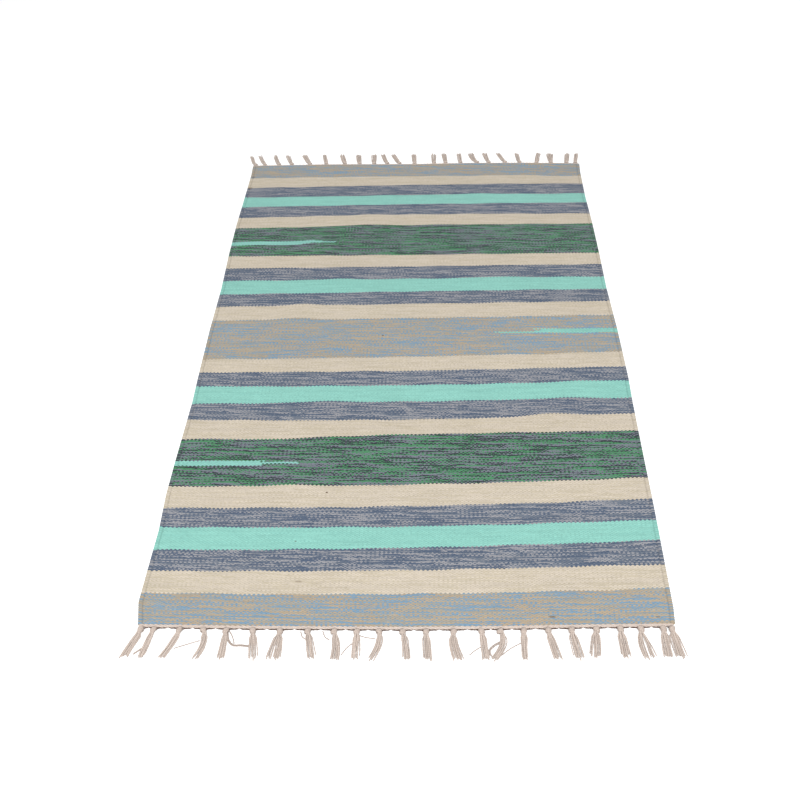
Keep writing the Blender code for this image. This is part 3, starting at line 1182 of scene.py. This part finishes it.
def knot_fringe(end, tassels, settings, material):
    """One end's fringe: every knotted tassel, and at the near end the loose yarns too."""
    rng = np.random.default_rng(FRINGE_SEEDS[end])
    yarn = YarnMesh()
    gather_ends(yarn, tassels, end, settings, rng)
    for tassel in tassels:
        grow_strands(yarn, tassel, end, settings, rng)
        tie_knot(yarn, tassel, end, settings, rng)
    if end == "near":
        for loose in LOOSE_YARNS:
            radius = loose.thickness / 2 * MM
            lying = [(x * MM, y * MM, radius * 1.1) for x, y in loose.points]
            # The loose yarns are mixed a third of the way toward the painted shade colour.
            yarn.add(rounded_path(lying, 8 * len(lying)), radius, tone=0.68, chance=0.7)
    return yarn.piece(f"tassel_fringe_{end}", material)


# The add-on


class KILIM_OT_weave_cloth(bpy.types.Operator):
    """Weave the banded field with its selvedges, wedges and flecks"""

    bl_idname = "kilim.weave_cloth"
    bl_label = "Weave Cloth"
    bl_options = {"REGISTER", "UNDO"}

    def execute(self, context):
        cloth = context.scene.kilim_cloth
        points, faces, weave, starts, warps = weave_field(cloth)
        material = banded_cotton(cloth, starts, warps)
        piece = new_piece("woven_field", points, faces, {"weave": weave}, material)
        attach(piece, "root")
        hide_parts("rug_panel")
        return {"FINISHED"}


class KILIM_OT_twine_headings(bpy.types.Operator):
    """Twine the heading cord along each woven end"""

    bl_idname = "kilim.twine_headings"
    bl_label = "Twine Headings"
    bl_options = {"REGISTER", "UNDO"}

    def execute(self, context):
        settings = context.scene.kilim_yarn
        material = plied_cotton("Heading Cotton", settings, 3.0, CORD_PLY_PITCH)
        for end in ("near", "far"):
            piece = heading_cord(end, settings, material)
            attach(piece, "root")
            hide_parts(f"heading_{end}")
        return {"FINISHED"}


class KILIM_OT_knot_fringes(bpy.types.Operator):
    bl_idname = "kilim.knot_fringes"
    bl_label = "Knot Fringes"
    bl_options = {"REGISTER", "UNDO"}

    def execute(self, context):
        settings = context.scene.kilim_yarn
        material = plied_cotton("Tassel Cotton", settings, 2.0, settings.yarn_pitch)
        for end, tassels in (("near", NEAR_TASSELS), ("far", FAR_TASSELS)):
            piece = knot_fringe(end, tassels, settings, material)
            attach(piece, "root")
            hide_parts(f"fringe_{end}")
        return {"FINISHED"}


class KILIM_OT_set_stage(bpy.types.Operator):
    """Lay the pale floor and set the soft lights and the camera"""

    bl_idname = "kilim.set_stage"
    bl_label = "Set Stage"
    bl_options = {"REGISTER", "UNDO"}

    def execute(self, context):
        stage = context.scene.kilim_stage
        lay_floor(stage)
        set_lights(context.scene, stage)
        set_camera(context.scene, stage)
        return {"FINISHED"}


FLOOR_SIZE = 16.0
FLOOR_DROP = 0.2 * MM  # keeps the floor just clear of the yarns that lie on it


def lay_floor(stage):
    """A plain pale floor under the rug."""
    bpy.ops.object.select_all(action="DESELECT")
    bpy.ops.mesh.primitive_plane_add(size=FLOOR_SIZE, location=(0, 0, -FLOOR_DROP))
    floor = bpy.context.active_object
    floor.name = "studio_floor"
    material, w = new_material("Studio Paper")
    shader = w.add(
        "ShaderNodeBsdfPrincipled",
        {"Base Color": (*stage.floor_colour, 1.0), "Roughness": 0.9, "Specular IOR Level": 0.1},
    )
    w.feed(w.add("ShaderNodeOutputMaterial").inputs["Surface"], shader.outputs["BSDF"])
    floor.data.materials.append(material)


LAMP_SIZE = (2.1, 1.3)
LAMP_PLACE = Vector((0.05, -1.25, 2.5))
LAMP_AIM = Vector((0.05, -1.0, 0.0))


def set_lights(scene, stage):
    """Even white surround, and one large soft light over the near end."""
    world = bpy.data.worlds.new("Studio Surround")
    world.use_nodes = True
    background = world.node_tree.nodes["Background"]
    background.inputs["Color"].default_value = (1.0, 1.0, 1.0, 1.0)
    background.inputs["Strength"].default_value = stage.sky_strength
    scene.world = world
    light = bpy.data.lights.new("key_light", "AREA")
    light.shape = "RECTANGLE"
    light.size, light.size_y = LAMP_SIZE
    light.energy = stage.key_power
    lamp = bpy.data.objects.new("key_light", light)
    lamp.location = LAMP_PLACE
    lamp.rotation_euler = (LAMP_AIM - LAMP_PLACE).to_track_quat("-Z", "Y").to_euler()
    scene.collection.objects.link(lamp)


CAMERA_PLACE = Vector((0.0273, -0.8259, 0.8215))
CAMERA_PITCH = math.radians(49.272)  # down from level
CAMERA_TURN = math.radians(-3.254)
CAMERA_ROLL = math.radians(-2.415)


def set_camera(scene, stage):
    """The camera at the photographed angle."""
    data = bpy.data.cameras.new("camera")
    data.sensor_fit = "HORIZONTAL"
    data.sensor_width = 36
    data.lens = stage.lens
    data.clip_start, data.clip_end = 0.01, 100
    camera = bpy.data.objects.new("camera", data)
    level = math.cos(CAMERA_PITCH)
    forward = Vector((math.sin(CAMERA_TURN) * level, math.cos(CAMERA_TURN) * level, -math.sin(CAMERA_PITCH)))
    right = Vector((math.cos(CAMERA_TURN), -math.sin(CAMERA_TURN), 0))
    up = right.cross(forward)
    rolled_right = math.cos(CAMERA_ROLL) * right + math.sin(CAMERA_ROLL) * up
    rolled_up = math.cos(CAMERA_ROLL) * up - math.sin(CAMERA_ROLL) * right
    turn = Matrix((rolled_right, rolled_up, -forward)).transposed()
    camera.matrix_world = Matrix.Translation(CAMERA_PLACE) @ turn.to_4x4()
    scene.collection.objects.link(camera)
    scene.camera = camera
    scene.view_settings.view_transform = "Standard"


class KILIM_PT_rug(bpy.types.Panel):
    """Lists the steps that make the rug, with their sizes and colours"""

    bl_idname = "KILIM_PT_rug"
    bl_label = "Kilim Rug"
    bl_space_type = "VIEW_3D"
    bl_region_type = "UI"
    bl_category = "Kilim"

    def draw(self, context):
        for step, settings in STEPS:
            box = self.layout.box()
            box.operator(step)
            group = getattr(context.scene, settings)
            for name in group.bl_rna.properties.keys():
                if name not in ("name", "rna_type"):
                    box.prop(group, name)


STEPS = [
    ("kilim.weave_cloth", "kilim_cloth"),
    ("kilim.twine_headings", "kilim_yarn"),
    ("kilim.knot_fringes", "kilim_yarn"),
    ("kilim.set_stage", "kilim_stage"),
]
SETTINGS = {"kilim_cloth": ClothSettings, "kilim_yarn": YarnSettings, "kilim_stage": StageSettings}
CLASSES = (
    *SETTINGS.values(),
    KILIM_OT_weave_cloth,
    KILIM_OT_twine_headings,
    KILIM_OT_knot_fringes,
    KILIM_OT_set_stage,
    KILIM_PT_rug,
)


def register():
    """Adds the settings, the operators and the panel."""
    for item in CLASSES:
        bpy.utils.register_class(item)
    for name, settings in SETTINGS.items():
        setattr(bpy.types.Scene, name, bpy.props.PointerProperty(type=settings))


def unregister():
    """Takes them away again."""
    for name in SETTINGS:
        delattr(bpy.types.Scene, name)
    for item in reversed(CLASSES):
        bpy.utils.unregister_class(item)


def main():
    """Makes the rug and its stage."""
    register()
    bpy.ops.kilim.weave_cloth()
    bpy.ops.kilim.twine_headings()
    bpy.ops.kilim.knot_fringes()
    bpy.ops.kilim.set_stage()


if __name__ == "__main__":
    main()
